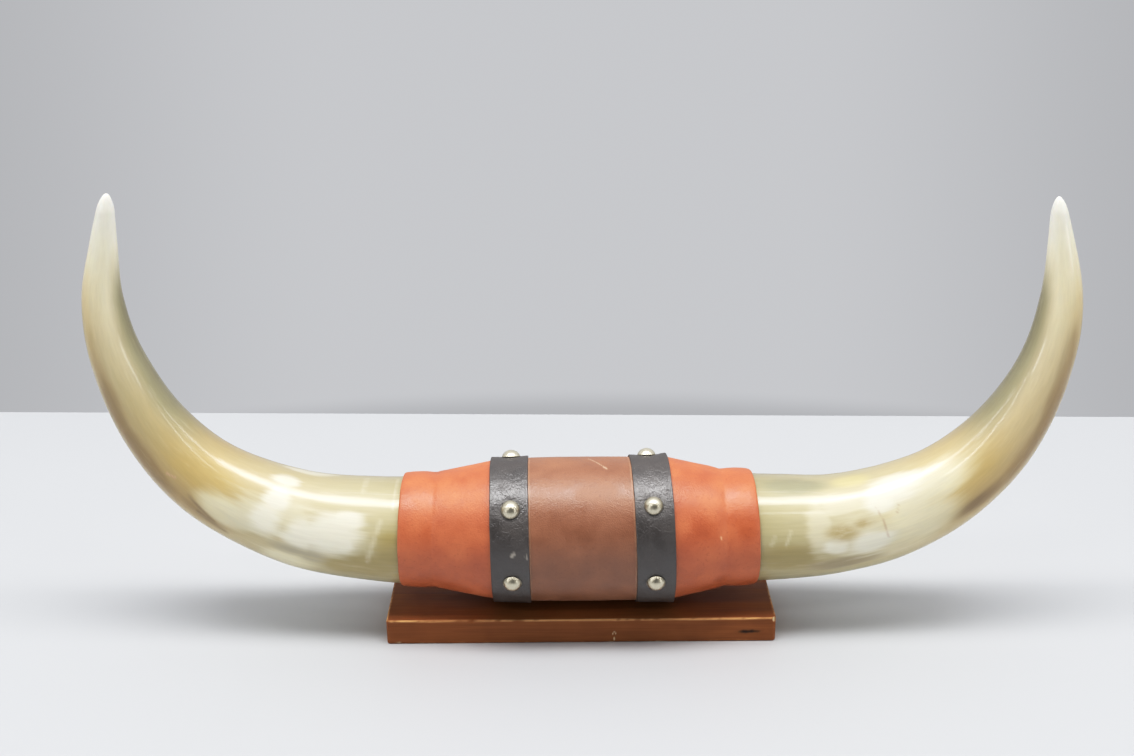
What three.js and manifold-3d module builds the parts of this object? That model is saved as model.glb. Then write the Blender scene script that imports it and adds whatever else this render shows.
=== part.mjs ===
// A pair of polished horns joined end to end by a leather-covered wooden barrel on a board.
// Millimetres, +Z up, +X from the left horn to the right one, +Y away from the front.
// The origin is the centre of the board's underside.
import * as THREE from "three";
import { mergeVertices } from "three/addons/utils/BufferGeometryUtils.js";
import Module from "manifold-3d";

const wasm = await Module();
wasm.setup();

// ---- Driving dimensions ----

const GAP = 0.3; // air between neighbouring pieces
const LEATHER = 1.4; // wall of the brown and orange leather
const COVER = LEATHER + GAP; // from the outside of the leather in to the core
const BARREL_SIDES = 36;

const BOARD = { length: 262.6, depth: 72.5, thickness: 17.9, corner: 2.5, edge: 1 };

const AXIS_Z = 67.8; // height of the barrel's axis; the board flattens the straps a little under the barrel

const STRAP = { width: 25.4, thickness: 1.3 };

const SEAM = 54; // where brown and orange leather meet under a strap, from the middle
const FULL = 40; // where the brown leather's gentle crown starts, from the middle
const CROWN_RADIUS = 48.9; // the brown leather at the middle

const NAIL = { headRadius: 6.25, headHeight: 4.4, shankRadius: 1.25, length: 13, point: 4 };
const NAIL_SIDES = 10;
const DOME_STEPS = 3;

const SCREW = { x: 18, recess: 0.5, headRadius: 4, headHeight: 2.5, shankRadius: 2.1, tip: 36, point: 6 };
const SCREW_SIDES = 10;

const PEG = { length: 60, baseRadius: 29, endRadius: 21 }; // the horn's hollow and the peg that fills it

const HORN_SIDES = 24;
const HORN_RINGS = 27;
const RING_CROWDING = 1.4; // above 1 the rings draw together towards the tip
const TIP_LENGTH = 12; // the last stretch of a horn, which rounds off to the tip

// What differs from side to side. sleeveEnd, joint and strapX are distances from the middle. The joint is where
// the horn's base meets the end of the core. The radii run along the outside of the sleeve, from its mouth over
// the raised collar and the groove behind it to the strap's edge. The leans are in degrees, round Y and Z.
// lift is how far the sleeve's mouth, and the horn in it, sits above the barrel's axis. nailAngles are degrees
// round the barrel, up from the front. stations holds points of the horn's centre line with its radius there:
// x, y, z, radius.
const LEFT = {
  name: "left",
  sign: -1,
  sleeveEnd: 120,
  sleeveLean: [1.4, 0.6],
  joint: 98,
  lift: 0.5,
  mouthRadius: 36.9,
  edgeRadius: 37.8,
  collarRadius: 39.2,
  grooveRadius: 38.8,
  shoulderRadius: 46.7,
  seamRadius: 47.6,
  fullRadius: 48.4,
  strapX: 47,
  strapLean: [-0.6, -0.9],
  strapRadii: { inner: 50, outer: 49 },
  nailX: 46,
  nailAngles: [-18, 42.5, 113, 183],
  stations: [
    [-98, 0, 68.05, 37.1],
    [-136, 0, 69, 35.7],
    [-191.5, 0.5, 78, 32.5],
    [-246, 2, 104.5, 27.4],
    [-281, 4, 143.5, 22.4],
    [-301, 5.5, 191, 17.3],
    [-306, 6, 232, 13.2],
    [-300.5, 5, 269, 8.7],
    [-293.5, 3, 303.5, 4.1],
  ],
};
const RIGHT = {
  name: "right",
  sign: 1,
  sleeveEnd: 117.4,
  sleeveLean: [-1.7, -1.1],
  joint: 97.5,
  lift: 0.3,
  mouthRadius: 37.3,
  edgeRadius: 38.6,
  collarRadius: 39.9,
  grooveRadius: 39.8,
  shoulderRadius: 48,
  seamRadius: 48.3,
  fullRadius: 48.4,
  strapX: 47.9,
  strapLean: [-1.4, -1.6],
  strapRadii: { inner: 50, outer: 50.2 },
  nailX: 47.4,
  nailAngles: [-18, 44.5, 113, 183],
  stations: [
    [97.5, 0, 67.95, 37.3],
    [136, 0, 68, 35.9],
    [173, -0.5, 70.5, 33.7],
    [211.5, -1.5, 81, 31.7],
    [248.5, -2, 101.5, 27.7],
    [280.5, -1, 135, 23.4],
    [302.5, 1, 180.5, 17.7],
    [309.5, 3, 230, 13.2],
    [300.5, 5, 296, 3.9],
  ],
};
const SIDES = [LEFT, RIGHT];

// ---- Materials ----

const material = (color, roughness, metalness = 0) =>
  new THREE.MeshStandardMaterial({ color, roughness, metalness });
const HORN = material(0xb5a678, 0.25);
const WOOD = material(0xc09a6b, 0.8);
const BROWN_LEATHER = material(0x7a4a38, 0.45);
const ORANGE_LEATHER = material(0xb8502a, 0.4);
const BLACK_LEATHER = material(0x3c3a3b, 0.55);
const NICKEL = material(0xc9c5b8, 0.25, 1);
const STAINED_WOOD = material(0x6b3a20, 0.5);
const STEEL = material(0x9a9a98, 0.4, 1);

// ---- Solids ----

const radians = THREE.MathUtils.degToRad;

// A geometry as a solid for cutting.
function solidOf(geometry) {
  const bare = geometry.clone();
  bare.deleteAttribute("normal");
  bare.deleteAttribute("uv");
  const merged = mergeVertices(bare, 1e-3);
  return new wasm.Manifold(
    new wasm.Mesh({
      numProp: 3,
      vertProperties: merged.attributes.position.array,
      triVerts: new Uint32Array(merged.index.array),
    }),
  );
}

// A geometry less the others.
function cut(geometry, tools) {
  const left = tools.reduce((solid, tool) => solid.subtract(solidOf(tool)), solidOf(geometry)).getMesh();
  const result = new THREE.BufferGeometry();
  result.setAttribute("position", new THREE.BufferAttribute(left.vertProperties, 3));
  result.setIndex(new THREE.BufferAttribute(left.triVerts, 1));
  result.computeVertexNormals();
  return result;
}

// A lathe's profile from points [radius, height], in the order that makes its faces point out.
function outward(points) {
  const profile = points.map(([radius, height]) => new THREE.Vector2(radius, height));
  return THREE.ShapeUtils.area(profile) < 0 ? profile.reverse() : profile;
}

// A solid turned about the barrel's axis from points [x, radius]. A flat side faces down onto the board.
function turned(points) {
  const profile = outward(points.map(([x, radius]) => [radius, x]));
  return new THREE.LatheGeometry(profile, BARREL_SIDES, Math.PI / BARREL_SIDES)
    .rotateZ(-Math.PI / 2)
    .translate(0, 0, AXIS_Z);
}

// A solid turned about +Z from points [radius, z] that start and end on the axis.
const turnedUpright = (points, sides) => new THREE.LatheGeometry(outward(points), sides).rotateX(Math.PI / 2);

// How far along X a point of a ring that leans by [round Y, round Z] moves, from its place round the axis.
const leanShift = ([roundY, roundZ], y, z) =>
  Math.tan(radians(roundY)) * (z - AXIS_Z) + Math.tan(radians(roundZ)) * y;

// Moves each point of a geometry by the [dx, dz] that a function of x, y, z gives.
function shifted(geometry, shift) {
  const p = geometry.attributes.position;
  for (let i = 0; i < p.count; i++) {
    const [dx, dz] = shift(p.getX(i), p.getY(i), p.getZ(i));
    p.setX(i, p.getX(i) + dx);
    p.setZ(i, p.getZ(i) + dz);
  }
  return geometry;
}

// The distance of a strap's outer edge from the middle, how far x is from there to the sleeve's mouth, as a share,
// and how high the sleeve and what it holds are lifted at x.
const strapEdge = ({ strapX }) => strapX + STRAP.width / 2;
const towardsMouth = (side, x) =>
  THREE.MathUtils.clamp((Math.abs(x) - strapEdge(side)) / (side.sleeveEnd - strapEdge(side)), 0, 1);
const liftAt = (side, x) => side.lift * towardsMouth(side, x) ** 2;

// ---- The horns ----

// Uniform Catmull-Rom interpolation of one channel of the stations, at t from 0 to the last index.
function along(stations, channel, t) {
  const values = stations.map((station) => station[channel]);
  const i = Math.min(Math.floor(t), values.length - 2);
  const before = values[i - 1] ?? 2 * values[0] - values[1];
  const after = values[i + 2] ?? 2 * values.at(-1) - values.at(-2);
  const w = t - i;
  const slopeIn = (values[i + 1] - before) / 2;
  const slopeOut = (after - values[i]) / 2;
  const rise = values[i + 1] - values[i];
  return values[i] + w * (slopeIn + w * (3 * rise - 2 * slopeIn - slopeOut + w * (slopeIn + slopeOut - 2 * rise)));
}

// A closed skin through round rings { center, axis, radius }; the first and the last ring have no radius.
function loft(rings, sides) {
  const positions = [];
  const index = [];
  const firstOf = [];
  for (const { center, axis, radius } of rings) {
    firstOf.push(positions.length / 3);
    const down = new THREE.Vector3().crossVectors(axis, new THREE.Vector3(0, 1, 0)).normalize();
    const across = new THREE.Vector3().crossVectors(down, axis);
    const count = radius > 0 ? sides : 1;
    for (let k = 0; k < count; k++) {
      const angle = (2 * Math.PI * k) / sides;
      const point = center
        .clone()
        .addScaledVector(down, radius * Math.cos(angle))
        .addScaledVector(across, radius * Math.sin(angle));
      positions.push(...point.toArray());
    }
  }
  for (let i = 0; i + 1 < rings.length; i++) {
    for (let k = 0; k < sides; k++) {
      const next = (k + 1) % sides;
      const [a, b] = [k, next].map((place) => firstOf[i] + (rings[i].radius > 0 ? place : 0));
      const [c, d] = [k, next].map((place) => firstOf[i + 1] + (rings[i + 1].radius > 0 ? place : 0));
      if (a !== b) index.push(a, c, b);
      if (c !== d) index.push(b, c, d);
    }
  }
  const geometry = new THREE.BufferGeometry();
  geometry.setAttribute("position", new THREE.Float32BufferAttribute(positions, 3));
  geometry.setIndex(index);
  return geometry;
}

// One horn: from the bottom of its hollow out to its base, and along the outside to the tip.
function horn(side) {
  const { sign, joint, stations } = side;
  const out = new THREE.Vector3(sign, 0, 0);
  const onAxis = (x) => new THREE.Vector3(sign * x, 0, AXIS_Z + liftAt(side, x));
  const rings = [
    { center: onAxis(joint + PEG.length), axis: out, radius: 0 },
    { center: onAxis(joint + PEG.length), axis: out, radius: PEG.endRadius },
    { center: onAxis(joint), axis: out, radius: PEG.baseRadius },
  ];
  const last = stations.length - 1;
  const centerAt = (t) => new THREE.Vector3(...[0, 1, 2].map((channel) => along(stations, channel, t)));
  const tip = centerAt(last);
  for (let k = 0; k <= HORN_RINGS; k++) {
    const t = last * (1 - (1 - k / HORN_RINGS) ** RING_CROWDING);
    const center = centerAt(t);
    const behind = centerAt(Math.max(t - 0.01, 0));
    const axis = k === 0 ? out : centerAt(Math.min(t + 0.01, last)).sub(behind).normalize();
    const inTip = 1 - Math.min(center.distanceTo(tip) / TIP_LENGTH, 1);
    rings.push({ center, axis, radius: along(stations, 3, t) * Math.sqrt(1 - inTip ** 2) });
  }
  return loft(rings, HORN_SIDES);
}

// ---- Nails and screws ----

// Places a geometry modelled along +Z square on the strap's slightly conical face, at an angle round the barrel.
function onStrap(geometry, { sign, strapX, nailX, strapLean, strapRadii }, degrees) {
  const angle = radians(degrees);
  const away = new THREE.Vector3(0, -Math.cos(angle), Math.sin(angle));
  const slope = (strapRadii.outer - strapRadii.inner) / STRAP.width;
  const seat = (strapRadii.inner + strapRadii.outer) / 2 + slope * (nailX - strapX) + GAP / 2;
  const place = away.clone().multiplyScalar(seat).add(new THREE.Vector3(0, 0, AXIS_Z));
  place.x = sign * nailX + leanShift(strapLean, place.y, place.z);
  const square = away.clone().setX(-sign * slope).normalize();
  const turn = new THREE.Quaternion().setFromUnitVectors(new THREE.Vector3(0, 0, 1), square);
  return geometry.clone().applyQuaternion(turn).translate(...place.toArray());
}

function nail() {
  const { headRadius, headHeight, shankRadius, length, point } = NAIL;
  const domeRadius = (headRadius ** 2 + headHeight ** 2) / (2 * headHeight);
  const reach = Math.asin(headRadius / domeRadius);
  const points = [[0, -length], [shankRadius, point - length], [shankRadius, 0]];
  for (let k = 0; k <= DOME_STEPS; k++) {
    const angle = reach * (1 - k / DOME_STEPS);
    points.push([domeRadius * Math.sin(angle), headHeight - domeRadius * (1 - Math.cos(angle))]);
  }
  return turnedUpright(points, NAIL_SIDES);
}

// The hole that a nail leaves, from above the strap to just past its point.
function nailHole() {
  const radius = NAIL.shankRadius + GAP;
  const bottom = -NAIL.length - GAP;
  return turnedUpright([[0, bottom], [radius, bottom], [radius, GAP], [0, GAP]], NAIL_SIDES);
}

function screw(x) {
  const { recess, headRadius, headHeight, shankRadius, tip, point } = SCREW;
  const neck = recess + headHeight;
  const points = [
    [0, recess],
    [headRadius, recess],
    [shankRadius, neck],
    [shankRadius, tip - point],
    [0, tip],
  ];
  return turnedUpright(points, SCREW_SIDES).translate(x, 0, 0);
}

// The countersunk hole for a screw, from below the board up into the core.
function screwHole(x) {
  const { recess, headRadius, headHeight, shankRadius, tip } = SCREW;
  const mouth = headRadius + 2 * GAP;
  const bore = shankRadius + GAP;
  const points = [
    [0, -1],
    [mouth, -1],
    [mouth, recess + GAP],
    [bore, recess + headHeight + GAP],
    [bore, tip + GAP],
    [0, tip + GAP],
  ];
  return turnedUpright(points, SCREW_SIDES).translate(x, 0, 0);
}

// ---- Barrel, leather and board ----

// Where the cone of a sleeve starts, behind the groove.
const coneStart = ({ sleeveEnd }) => sleeveEnd - 25.5;
const coneStartRadius = ({ grooveRadius }) => grooveRadius + 1.1;

function sleeve(side) {
  const { sign, sleeveEnd, sleeveLean, joint, mouthRadius, edgeRadius, collarRadius, grooveRadius } = side;
  const { shoulderRadius, seamRadius, stations } = side;
  const seam = SEAM + GAP / 2;
  const hornRadius = stations[0][3];
  const outside = [
    [sleeveEnd, edgeRadius],
    [sleeveEnd - 1.5, (edgeRadius + collarRadius) / 2],
    [sleeveEnd - 6, collarRadius - 0.2],
    [sleeveEnd - 13, collarRadius],
    [sleeveEnd - 21.5, grooveRadius],
    [coneStart(side), coneStartRadius(side)],
    [strapEdge(side), shoulderRadius],
    [seam, seamRadius],
  ];
  const inside = [
    [seam, seamRadius - LEATHER],
    [strapEdge(side), shoulderRadius - LEATHER],
    [coneStart(side), coneStartRadius(side) - LEATHER],
    [joint, hornRadius + GAP],
    [sleeveEnd, mouthRadius],
    [sleeveEnd, edgeRadius],
  ];
  const points = [...outside, ...inside].map(([x, radius]) => [sign * x, radius]);
  return shifted(turned(points), (x, y, z) => [
    towardsMouth(side, x) * leanShift(sleeveLean, y, z),
    liftAt(side, x),
  ]);
}

function strap({ sign, strapX, strapLean, strapRadii }) {
  const { width, thickness } = STRAP;
  const inner = strapX - width / 2;
  const outer = strapX + width / 2;
  const points = [
    [sign * inner, strapRadii.inner],
    [sign * outer, strapRadii.outer],
    [sign * outer, strapRadii.outer - thickness],
    [sign * inner, strapRadii.inner - thickness],
    [sign * inner, strapRadii.inner],
  ];
  const ring = shifted(turned(points), (x, y, z) => [leanShift(strapLean, y, z), 0]);
  const below = new THREE.BoxGeometry(4 * width, BOARD.depth, BOARD.thickness);
  return cut(ring, [below.translate(sign * strapX, 0, BOARD.thickness / 2 + GAP)]);
}

function leatherCenter() {
  const end = SEAM - GAP / 2;
  const outside = [
    [-end, LEFT.seamRadius],
    [-FULL, LEFT.fullRadius],
    [0, CROWN_RADIUS],
    [FULL, RIGHT.fullRadius],
    [end, RIGHT.seamRadius],
  ];
  return turned([
    ...outside,
    ...outside.toReversed().map(([x, radius]) => [x, radius - LEATHER]),
    outside[0],
  ]);
}

// The core's outline on one side, from the peg's end to where its straight middle starts.
function coreSide(side) {
  const { sign, joint, shoulderRadius, seamRadius, fullRadius, stations } = side;
  return [
    [joint + PEG.length - GAP, 0],
    [joint + PEG.length - GAP, PEG.endRadius - GAP],
    [joint - GAP, PEG.baseRadius - GAP],
    [joint - GAP, stations[0][3]],
    [coneStart(side), coneStartRadius(side) - COVER],
    [strapEdge(side), shoulderRadius - COVER],
    [SEAM, seamRadius - COVER],
    [FULL, fullRadius - COVER],
  ].map(([x, radius]) => [sign * x, radius]);
}

function core() {
  const points = [...coreSide(LEFT), ...coreSide(RIGHT).toReversed()];
  return shifted(turned(points), (x) => [0, liftAt(x < 0 ? LEFT : RIGHT, x)]);
}

function board() {
  const { length, depth, thickness, corner, edge } = BOARD;
  const x = length / 2 - edge;
  const y = depth / 2 - edge;
  const outline = new THREE.Shape()
    .moveTo(corner - x, -y)
    .lineTo(x - corner, -y)
    .quadraticCurveTo(x, -y, x, corner - y)
    .lineTo(x, y - corner)
    .quadraticCurveTo(x, y, x - corner, y)
    .lineTo(corner - x, y)
    .quadraticCurveTo(-x, y, -x, y - corner)
    .lineTo(-x, corner - y)
    .quadraticCurveTo(-x, -y, corner - x, -y);
  return new THREE.ExtrudeGeometry(outline, {
    depth: thickness - 2 * edge,
    bevelThickness: edge,
    bevelSize: edge,
    bevelSegments: 1,
    curveSegments: 3,
  }).translate(0, 0, edge);
}

// ---- The part ----

const part = new THREE.Group();
const add = (name, geometry, finish) => {
  const mesh = new THREE.Mesh(geometry, finish);
  mesh.name = name;
  part.add(mesh);
};

const nailHoles = SIDES.map((side) => side.nailAngles.map((degrees) => onStrap(nailHole(), side, degrees)));
const screwHoles = [screwHole(-SCREW.x), screwHole(SCREW.x)];

for (const side of SIDES) {
  add("horn_" + side.name, horn(side), HORN);
  add("sleeve_" + side.name, sleeve(side), ORANGE_LEATHER);
}
const fastenerHoles = [...nailHoles.flat(), ...screwHoles];
add("wood_core", cut(core(), fastenerHoles), WOOD);
add("leather_center", cut(leatherCenter(), fastenerHoles), BROWN_LEATHER);
SIDES.forEach((side, i) => {
  add("strap_" + side.name, cut(strap(side), nailHoles[i]), BLACK_LEATHER);
  side.nailAngles.forEach((degrees, k) => {
    add(`stud_${side.name}_${k + 1}`, onStrap(nail(), side, degrees), NICKEL);
  });
});
add("base_board", cut(board(), screwHoles), STAINED_WOOD);
add("mount_screw_left", screw(-SCREW.x), STEEL);
add("mount_screw_right", screw(SCREW.x), STEEL);

export default part;
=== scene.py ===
"""Looks of a pair of polished horns that a leather-covered barrel joins end to end on a stained board.

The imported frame: +X from the left horn to the right one, +Y away from the front, +Z up.
Lengths of the part are in millimetres and scaled by MM; the stage, lights and camera are in metres.
Angles round a horn are degrees from the outside of its bend, through the front at 90 to the inside
of its bend at 180. Angles round the barrel are degrees up from the front. Every irregularity comes
from noise at fixed places, so each run gives the same result.
"""
import math
from collections import namedtuple

import bpy
import numpy as np
from mathutils import Matrix, Vector, noise

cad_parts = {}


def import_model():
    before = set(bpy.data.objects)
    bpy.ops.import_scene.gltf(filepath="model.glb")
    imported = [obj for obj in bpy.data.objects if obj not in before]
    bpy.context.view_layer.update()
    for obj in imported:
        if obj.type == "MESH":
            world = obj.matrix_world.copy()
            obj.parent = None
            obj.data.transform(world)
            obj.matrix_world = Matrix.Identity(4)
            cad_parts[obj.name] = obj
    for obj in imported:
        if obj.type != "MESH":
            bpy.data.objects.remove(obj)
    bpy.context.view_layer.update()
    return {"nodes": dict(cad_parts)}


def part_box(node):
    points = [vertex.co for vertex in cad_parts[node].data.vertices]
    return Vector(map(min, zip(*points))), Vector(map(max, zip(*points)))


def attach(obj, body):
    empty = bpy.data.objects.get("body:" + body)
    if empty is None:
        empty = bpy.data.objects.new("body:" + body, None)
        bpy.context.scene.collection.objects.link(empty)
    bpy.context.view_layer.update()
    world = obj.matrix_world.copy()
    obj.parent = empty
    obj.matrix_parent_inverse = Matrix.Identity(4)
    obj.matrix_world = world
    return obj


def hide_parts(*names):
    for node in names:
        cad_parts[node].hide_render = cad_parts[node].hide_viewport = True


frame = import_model()

MM = 0.001
BODY = "root"

# ---- Dimensions ----

# Between the leathers where they meet end to end, as in the CAD.
GAP = 0.3
# The height of the barrel's axis.
AXIS_Z = sum(corner.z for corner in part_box("leather_center")) / 2 / MM
BOARD_LOW, BOARD_HIGH = (np.array(corner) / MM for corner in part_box("base_board"))
BOARD_TOP = BOARD_HIGH[2]

BARREL_SIDES = 216
LEATHER = 1.4
# The seams between brown and orange leather are at this X on both sides.
SEAM = 54

# The wrap's radius in the middle, and at CROWN_START from there.
CENTER_CROWN = 48.9
CENTER_FULL = 48.4
CROWN_START = 40
WRAP_STEP = 0.6
WRAP_LINING_STEP = 4
# A pale rim shows on the wrap beside each strap: where it starts and ends, from the strap's edge.
RIM_START = (-0.5, 0)
RIM_END = (0.7, 1.3)

SLEEVE_ROWS = 90
SLEEVE_LINING_STEP = 3
SLEEVE_RAGGED = 0.25

STRAP_WIDTH = 25.4
STRAP_THICKNESS = 1.3
STRAP_ROWS = 44
STRAP_LINING_ROWS = 10
STRAP_CORNER = 0.45
STRAP_BEVEL = (0.12, 0.15)
STRAP_INNER_CORNER = 0.2
STRAP_RAGGED = 0.22
STRAP_ABOVE_BOARD = 0.25

# The hollow in each horn's base, which the barrel's peg fills.
PEG_LENGTH = 60
PEG_BASE_RADIUS = 29
PEG_END_RADIUS = 21

HORN_RINGS = 300
HORN_SIDES = 144
# Above 1, the rings lie closer together towards the tip.
RING_CROWDING = 1.4
# The end that is rounded off, and the radius of the small flat on its very tip.
TIP_LENGTH = 12
TIP_FACET = 0.1
# The horn's relief fades where its radius is smaller than this.
FULL_SWELL_RADIUS = 20
# The noise of its swells and patch edges is drawn out along it: scales across it and along it.
ALONG_GRAIN = (1, 1, 0.35)
# Its painted shade, inside its bend, outside its bend and along its top, comes and goes between these
# places along it, from the base.
INNER_SHADE = ((165, 225), (300, 345))
OUTER_SHADE = ((125, 180), (280, 345))
TOP_SHADE_END = (300, 350)

NAIL_HEAD_RADIUS = 6.25
NAIL_HEAD_HEIGHT = 4.4
NAIL_WALL = 0.6
NAIL_SHANK_RADIUS = 1.25
NAIL_LENGTH = 13
NAIL_POINT = 4
NAIL_POINT_RADIUS = 0.05
NAIL_SIDES = 48
# How far a nail presses its strap in, and the radius of that dent.
NAIL_PRESS = 0.45
NAIL_PRESS_RADIUS = 7.6
# How far the head sinks into the strap.
NAIL_SINK = 0.02

# Low relief as layers of noise: the depth and size of its bumps, and a seed.
HORN_SWELLS = ((0.22, 24, 3.1), (0.1, 9, 7.7))
SLEEVE_WRINKLES = ((0.07, 22, 2.2), (0.03, 6, 4.4))
WRAP_WRINKLES = ((0.07, 24, 6.1), (0.03, 6, 9.3))
# How raggedly a horn's soft patches end, as shares of their half sizes, in the same form.
PATCH_EDGES = ((0.3, 13, 1.3), (0.1, 6, 5.9))

# A soft patch on a horn: its kind, its place along the horn from the base and round it, its half sizes.
Mark = namedtuple("Mark", "kind along degrees half_length half_width")
# A thin line between two places: (along, degrees) on a horn, or (x, degrees) on the barrel.
Line = namedtuple("Line", "kind start end half_width")

# Leans are in degrees round Y and round Z, and lift is how far the sleeve's outer end stands above the
# barrel's axis. Sleeves are (x, radius) and strap_radii are at its inner and outer edge, with every x
# counted outwards. Stations are x, y, z and radius along the horn's centre line.
LEFT = dict(
    name="left",
    sign=-1,
    sleeve_end=120,
    sleeve_lean=(1.4, 0.6),
    lift=0.9,
    sleeve_outside=[
        (120.1, 37.9), (119, 38.4), (115.5, 38.9), (110, 39.3), (105, 39.35), (101, 39.0), (98, 38.95),
        (95, 39.75), (90, 40.8), (80, 42.8), (70, 44.8), (59.7, 46.8), (54.15, 47.6),
    ],
    sleeve_inside=[(54.15, 46.2), (59.7, 45.3), (94.5, 38.5), (98, 37.5), (120, 37)],
    strap_x=47,
    strap_lean=(-0.6, -0.9),
    strap_radii=(50, 49),
    strap_flare=0.2,
    nail_x=46,
    nail_angles=(-18, 42.5, 113, 183),
    stations=[
        (-98, 0, 68.05, 37.1), (-136, 0, 69, 35.7), (-191.5, 0.5, 78, 32.5), (-246, 2, 104.5, 27.4),
        (-281, 4, 143.5, 22.4), (-301, 5.5, 191, 17.3), (-306, 6, 232, 13.2), (-300.5, 5, 269, 8.7),
        (-293.5, 3, 303.5, 4.1),
    ],
    marks=[
        Mark("haze", 119, 104, 27, 15),
        Mark("haze", 108, 112, 22, 16),
        Mark("haze", 95, 113, 16, 17),
        Mark("milk", 113, 108, 14, 10),
        Mark("milk", 111, 131, 11, 9),
        Mark("milk", 88, 102, 15, 12),
        Mark("milk", 68, 106, 25, 15),
        Mark("milk", 57, 122, 13, 8),
        Mark("milk", 59, 97, 10, 7),
        Mark("milk", 110, 161, 12, 6.5),
        Mark("milk", 95, 192, 24, 5),
        Mark("smudge", 92, 77, 14, 4),
        Mark("smudge", 78, 75, 9, 5),
        Mark("cream", 92, 54, 18, 10),
        Mark("cream", 140, 90, 22, 12),
        Mark("khaki", 58, 68, 16, 9),
        Mark("khaki", 40, 72, 28, 13),
        Mark("khaki", 26, 92, 17, 20),
        Mark("tan", 166, 112, 36, 18),
        # Painted shade along the horn's edges.
        Mark("umber", 150, 66, 22, 7),
        Mark("umber", 215, 60, 60, 9),
        Mark("milk", 70, 262, 26, 13),
        Mark("haze", 112, 246, 26, 13),
        Mark("cream", 96, 290, 30, 12),
        Mark("smudge", 104, 276, 18, 5),
        Mark("khaki", 40, 300, 24, 12),
        # Painted shade along the horn's edge.
        Mark("umber", 190, 292, 50, 10),
    ],
    lines=[
        Line("streak", (164, 80), (142, 66), 1.6),
        Line("streak", (154, 66), (134, 59), 2.0),
        Line("pale", (35.5, 126), (42.5, 80), 2.2),
        Line("pale", (26, 186), (27, 140), 1.6),
        Line("pale", (49, 186), (50, 160), 2.2),
        Line("scar", (184, 81), (178, 87), 0.9),
    ],
    sleeve_scuffs=(),
    strap_scuffs=[
        Line("scuff", (-45.0, 7), (-43.4, 8.8), 1.3),
        Line("scuff", (-36.6, 7), (-35.2, 8), 0.4),
        Line("scuff", (-35.2, 8), (-34.9, 5), 0.4),
        Line("scuff", (-34.9, 5), (-36.4, 4), 0.4),
    ],
)
RIGHT = dict(
    name="right",
    sign=1,
    sleeve_end=117.4,
    sleeve_lean=(-1.7, -1.1),
    lift=0.7,
    sleeve_outside=[
        (117.5, 38.3), (116.4, 39.0), (113, 39.7), (108, 40.1), (103, 40.1), (99, 39.8), (96, 39.8),
        (92.5, 40.9), (88, 42.1), (78, 44.2), (69, 46.2), (60.6, 48.0), (54.15, 48.3),
    ],
    sleeve_inside=[(54.15, 46.9), (60.6, 46.5), (91.9, 39.4), (97.5, 37.7), (117.4, 37.3)],
    strap_x=47.9,
    strap_lean=(-1.4, -1.6),
    strap_radii=(50, 50.2),
    strap_flare=1.0,
    nail_x=47.4,
    nail_angles=(-18, 44.5, 113, 183),
    stations=[
        (97.5, 0, 67.95, 37.3), (136, 0, 68, 35.9), (173, -0.5, 70.5, 33.7), (211.5, -1.5, 81, 31.7),
        (248.5, -2, 101.5, 27.7), (280.5, -1, 135, 23.4), (302.5, 1, 180.5, 17.7), (309.5, 3, 230, 13.2),
        (300.5, 5, 296, 3.9),
    ],
    marks=[
        Mark("milk", 121, 146, 22, 12),
        Mark("haze", 134, 122, 26, 14),
        Mark("milk", 108, 132, 14, 9),
        Mark("haze", 82, 137, 24, 8),
        Mark("haze", 61, 114, 10, 20),
        Mark("milk", 72, 92, 9, 6),
        Mark("milk", 96, 90, 14, 9),
        Mark("haze", 92, 104, 22, 18),
        Mark("cream", 126, 96, 32, 20),
        Mark("cream", 150, 128, 40, 12),
        Mark("yellow", 92, 170, 17, 7),
        Mark("umbra", 78, 106, 12, 6),
        Mark("umbra", 93, 113, 9, 4),
        Mark("grey", 46, 168, 28, 10),
        Mark("khaki", 38, 82, 30, 15),
        # Painted shade low on the outside of the horn.
        Mark("dusk", 76, 66, 24, 6),
        Mark("streak", 163, 70, 15, 5.5),
        # Painted shade along the horn's edges.
        Mark("umber", 168, 66, 24, 7),
        Mark("umber", 235, 60, 60, 9),
        Mark("tan", 172, 108, 34, 17),
        Mark("milk", 84, 250, 28, 14),
        Mark("haze", 134, 268, 24, 12),
        Mark("cream", 110, 284, 34, 12),
        Mark("smudge", 112, 236, 16, 4),
        Mark("khaki", 36, 288, 20, 14),
        # Painted shade along the horn's edge.
        Mark("umber", 200, 288, 50, 10),
    ],
    lines=[
        Line("pale", (41.5, 112), (38, 97), 1.4),
        Line("pale", (30.5, 107), (28, 98), 2.0),
        Line("scratch", (104.5, 127), (107, 110), 0.55),
        Line("scratch", (107, 110), (107, 90), 0.5),
        Line("scratch", (121, 124), (117.5, 115), 0.5),
    ],
    sleeve_scuffs=[Line("scuff", (91.6, 19), (92, 17), 0.6)],
    strap_scuffs=(),
)
SIDES = (LEFT, RIGHT)
WRAP_SCUFFS = [
    Line("scuff", (5.4, 101), (16, 84), 0.35),
    Line("scuff", (16, 84), (17.6, 82), 0.9),
]

BOARD_CORNER = 2.5
# The board's mesh has close steps within EDGE_REACH of its edges, and where its front is chipped.
EDGE_REACH = 4
CLOSE_STEP = 0.4
LONG_STEP = 2.0
UPRIGHT_STEP = 0.7
CHIPPED_STRETCH = (18, 26)

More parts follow.
